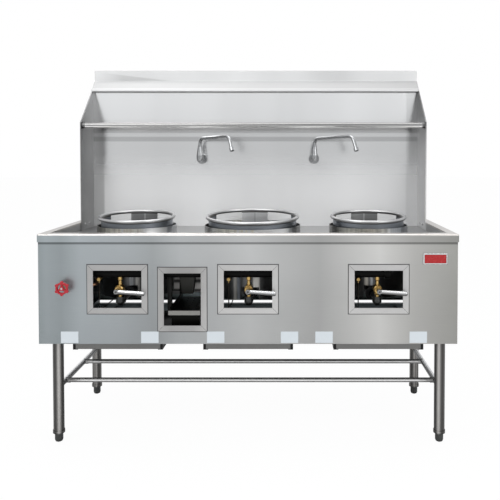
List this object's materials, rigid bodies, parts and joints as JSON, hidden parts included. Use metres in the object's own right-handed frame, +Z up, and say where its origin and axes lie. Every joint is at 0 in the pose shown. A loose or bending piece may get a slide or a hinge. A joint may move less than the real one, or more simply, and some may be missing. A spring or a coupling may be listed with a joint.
{
  "type": "wok range",
  "caption": "Freestanding gas wok range: steel body on tube legs, lift-off wok rings, front gas levers, drip trays, tall splash back with pot rail and swing spouts.",
  "frame": {"origin": "on the floor under the middle of the range's overall box", "axes": "+Z up, -Y to the cook at the front, +X to the cook's right"},
  "size_m": [1.727, 0.744, 1.631],
  "materials": {
    "worktop_steel": "brushed",
    "panel_steel": "brushed",
    "splash_steel": "brushed",
    "frame_steel": "satin",
    "slate_frame": "satin slate grey",
    "rear_steel": "satin",
    "drain_steel": "satin",
    "screw_steel": "machined",
    "tube_steel": "polished tube",
    "trim_steel": "brushed",
    "tray_steel": "satin",
    "ring_steel": "polished",
    "collar_steel": "brushed",
    "chamber_steel": "heat darkened",
    "black_pipe": "satin black",
    "black_bracket": "satin black",
    "burner_iron": "as cast",
    "valve_brass": "machined",
    "pilot_brass": "machined",
    "copper_pipe": "copper tone",
    "lever_chrome": "polished",
    "faucet_chrome": "polished",
    "wheel_red": "gloss",
    "stem_steel": "machined",
    "badge_red": "gloss",
    "label_silver": "satin",
    "rail_steel": "polished tube",
    "foot_steel": "satin"
  },
  "bodies": {
    "range": {"chamber_floors": "chamber_steel", "worktop": "worktop_steel", "front_panel": "panel_steel", "side_panels": "panel_steel", "rear_panel": "rear_steel", "base_frame": "slate_frame", "window_trims": "trim_steel", "label_plates": "label_silver", "badge": "badge_red", "gas_manifold": "black_pipe", "manifold_brackets": "black_bracket", "supply_elbows": "black_pipe", "pilot_lines": "pilot_brass", "water_valve": "valve_brass", "water_pipes": "copper_pipe", "drain_chute": "drain_steel", "waste_hangers": "frame_steel", "drain_box": "drain_steel", "tray_runners": "black_bracket", "legs": "tube_steel", "side_rails": "tube_steel", "cross_rails": "tube_steel", "back_panel": "splash_steel", "splash_sides": "splash_steel", "splash_screws": "screw_steel", "splash_cap": "splash_steel", "pot_rail": "rail_steel", "rail_mounts": "rail_steel", "faucet_base_left": "faucet_chrome", "faucet_base_right": "faucet_chrome", "ring_collar_left": "collar_steel", "chamber_left": "chamber_steel", "burner_left": "burner_iron", "gas_valve_left": "valve_brass", "ring_collar_centre": "collar_steel", "chamber_centre": "chamber_steel", "burner_centre": "burner_iron", "gas_valve_centre": "valve_brass", "ring_collar_right": "collar_steel", "chamber_right": "chamber_steel", "burner_right": "burner_iron", "gas_valve_right": "valve_brass"},
    "lever_left": {"lever_left": "lever_chrome"},
    "lever_centre": {"lever_centre": "lever_chrome"},
    "lever_right": {"lever_right": "lever_chrome"},
    "handwheel": {"handwheel": "wheel_red", "wheel_stem": "stem_steel"},
    "spout_left": {"spout_left": "faucet_chrome"},
    "spout_right": {"spout_right": "faucet_chrome"},
    "drip_tray_left": {"drip_tray_left": "tray_steel"},
    "drip_tray_centre": {"drip_tray_centre": "tray_steel"},
    "drip_tray_right": {"drip_tray_right": "tray_steel"},
    "waste_tray": {"waste_tray": "tray_steel"},
    "wok_ring_left": {"wok_ring_left": "ring_steel"},
    "wok_ring_centre": {"wok_ring_centre": "ring_steel"},
    "wok_ring_right": {"wok_ring_right": "ring_steel"},
    "foot_front_left": {"foot_front_left": "foot_steel"},
    "foot_front_right": {"foot_front_right": "foot_steel"},
    "foot_rear_left": {"foot_rear_left": "foot_steel"},
    "foot_rear_right": {"foot_rear_right": "foot_steel"}
  },
  "joints": [
    {"name": "lever_left_turn", "type": "hinge", "parent": "range", "child": "lever_left", "pos_m": [-0.535, -0.326, 0.647], "axis": [0, 1, 0], "range_deg": [0, 90]},
    {"name": "lever_centre_turn", "type": "hinge", "parent": "range", "child": "lever_centre", "pos_m": [0, -0.326, 0.647], "axis": [0, 1, 0], "range_deg": [0, 90]},
    {"name": "lever_right_turn", "type": "hinge", "parent": "range", "child": "lever_right", "pos_m": [0.535, -0.326, 0.647], "axis": [0, 1, 0], "range_deg": [0, 90]},
    {"name": "handwheel_turn", "type": "hinge", "parent": "range", "child": "handwheel", "pos_m": [-0.751, -0.332, 0.663], "axis": [0, -1, 0], "range_deg": [0, 1080]},
    {"name": "spout_left_swing", "type": "hinge", "parent": "range", "child": "spout_left", "pos_m": [-0.27, 0.217, 1.22], "axis": [0, 0, 1], "range_deg": [-126, 54]},
    {"name": "spout_right_swing", "type": "hinge", "parent": "range", "child": "spout_right", "pos_m": [0.295, 0.217, 1.22], "axis": [0, 0, 1], "range_deg": [-126, 54]},
    {"name": "drip_tray_left_slide", "type": "slide", "parent": "range", "child": "drip_tray_left", "axis": [0, -1, 0], "range_m": [0, 0.45]},
    {"name": "drip_tray_centre_slide", "type": "slide", "parent": "range", "child": "drip_tray_centre", "axis": [0, -1, 0], "range_m": [0, 0.45]},
    {"name": "drip_tray_right_slide", "type": "slide", "parent": "range", "child": "drip_tray_right", "axis": [0, -1, 0], "range_m": [0, 0.45]},
    {"name": "waste_tray_slide", "type": "slide", "parent": "range", "child": "waste_tray", "axis": [0, -1, 0], "range_m": [0, 0.3]},
    {"name": "wok_ring_left_lift", "type": "slide", "parent": "range", "child": "wok_ring_left", "axis": [0, 0, 1], "range_m": [0, 0.12]},
    {"name": "wok_ring_centre_lift", "type": "slide", "parent": "range", "child": "wok_ring_centre", "axis": [0, 0, 1], "range_m": [0, 0.12]},
    {"name": "wok_ring_right_lift", "type": "slide", "parent": "range", "child": "wok_ring_right", "axis": [0, 0, 1], "range_m": [0, 0.12]},
    {"name": "foot_front_left_turn", "type": "hinge", "parent": "range", "child": "foot_front_left", "pos_m": [-0.7995, -0.278, 0.02], "axis": [0, 0, 1], "continuous": true},
    {"name": "foot_front_right_turn", "type": "hinge", "parent": "range", "child": "foot_front_right", "pos_m": [0.7995, -0.278, 0.02], "axis": [0, 0, 1], "continuous": true},
    {"name": "foot_rear_left_turn", "type": "hinge", "parent": "range", "child": "foot_rear_left", "pos_m": [-0.7995, 0.26, 0.02], "axis": [0, 0, 1], "continuous": true},
    {"name": "foot_rear_right_turn", "type": "hinge", "parent": "range", "child": "foot_rear_right", "pos_m": [0.7995, 0.26, 0.02], "axis": [0, 0, 1], "continuous": true}
  ]
}
